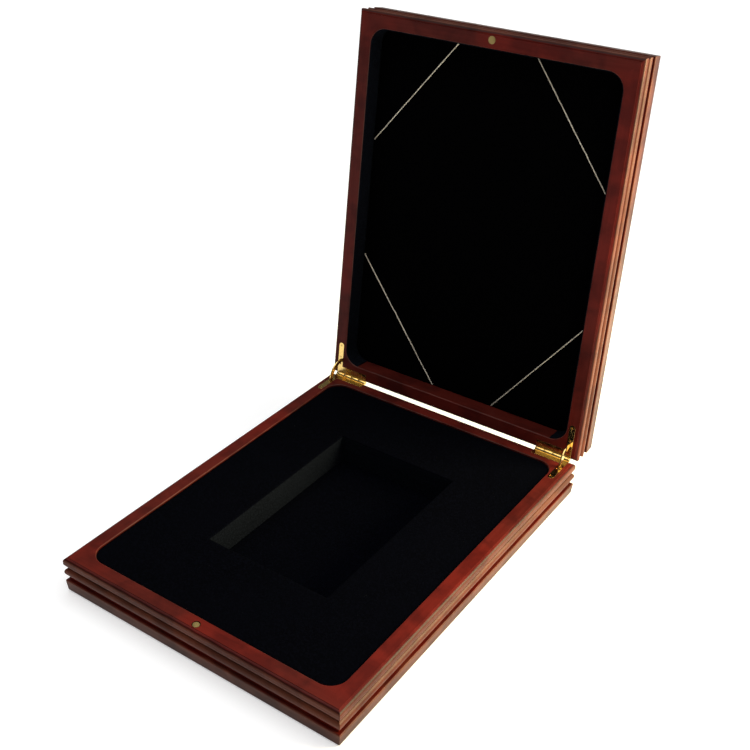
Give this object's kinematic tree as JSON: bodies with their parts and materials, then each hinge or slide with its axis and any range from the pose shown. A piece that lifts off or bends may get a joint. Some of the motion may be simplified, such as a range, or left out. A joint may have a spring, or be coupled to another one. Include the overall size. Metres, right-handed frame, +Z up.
{
  "type": "hinged presentation display case",
  "caption": "Shallow hardwood case with a moulded frame, a velvet insert with a rectangular pocket, a velvet lid with corner cords and brass stay hinges; shown open.",
  "frame": {"origin": "centre of the base's underside, on the surface that it stands on", "axes": "+X runs right along the hinge, +Y from the front to the hinge side, +Z up"},
  "size_m": [0.2516, 0.4031, 0.3622],
  "materials": {
    "stained_wood": "satin lacquer",
    "veneered_panel": "satin lacquer",
    "foam": "open-cell foam",
    "board": "raw",
    "velvet": "short pile",
    "magnet": "dull plated",
    "cord": "metallic thread",
    "brass": "polished"
  },
  "bodies": {
    "base": {"base_front_rail": "stained_wood", "base_right_rail": "stained_wood", "base_rear_rail": "stained_wood", "base_left_rail": "stained_wood", "bottom_panel": "veneered_panel", "insert_core": "foam", "insert_velvet": "velvet", "pocket_floor": "velvet", "catch_magnet": "magnet", "left_base_leaf": "brass", "right_base_leaf": "brass", "left_hinge_pin": "brass", "right_hinge_pin": "brass", "base_hinge_screws": "brass"},
    "lid": {"lid_front_rail": "stained_wood", "lid_right_rail": "stained_wood", "lid_rear_rail": "stained_wood", "lid_left_rail": "stained_wood", "lid_panel": "veneered_panel", "backing_board": "board", "lid_padding": "foam", "lid_velvet": "velvet", "lid_side_lining": "velvet", "strike_disc": "magnet", "cord_front_left": "cord", "cord_front_right": "cord", "cord_rear_left": "cord", "cord_rear_right": "cord", "left_lid_leaf": "brass", "right_lid_leaf": "brass", "lid_hinge_screws": "brass"},
    "left_stay": {"left_stay_arm": "brass"},
    "right_stay": {"right_stay_arm": "brass"}
  },
  "joints": [
    {"name": "lid_hinge", "type": "hinge", "parent": "base", "child": "lid", "pos_m": [0, 0.1667, 0.0313], "axis": [1, 0, 0], "range_deg": [0, 96.3]},
    {"name": "left_stay_slide", "type": "hinge", "parent": "base", "child": "left_stay", "pos_m": [-0.11745, 0.1667, 0.0313], "axis": [1, 0, 0], "range_deg": [0, 48.15]},
    {"name": "right_stay_slide", "type": "hinge", "parent": "base", "child": "right_stay", "pos_m": [0.11745, 0.1667, 0.0313], "axis": [1, 0, 0], "range_deg": [0, 48.15]}
  ],
  "couplings": [
    {"joint": "left_stay_slide", "follows": "lid_hinge", "ratio": 0.5},
    {"joint": "right_stay_slide", "follows": "lid_hinge", "ratio": 0.5}
  ]
}
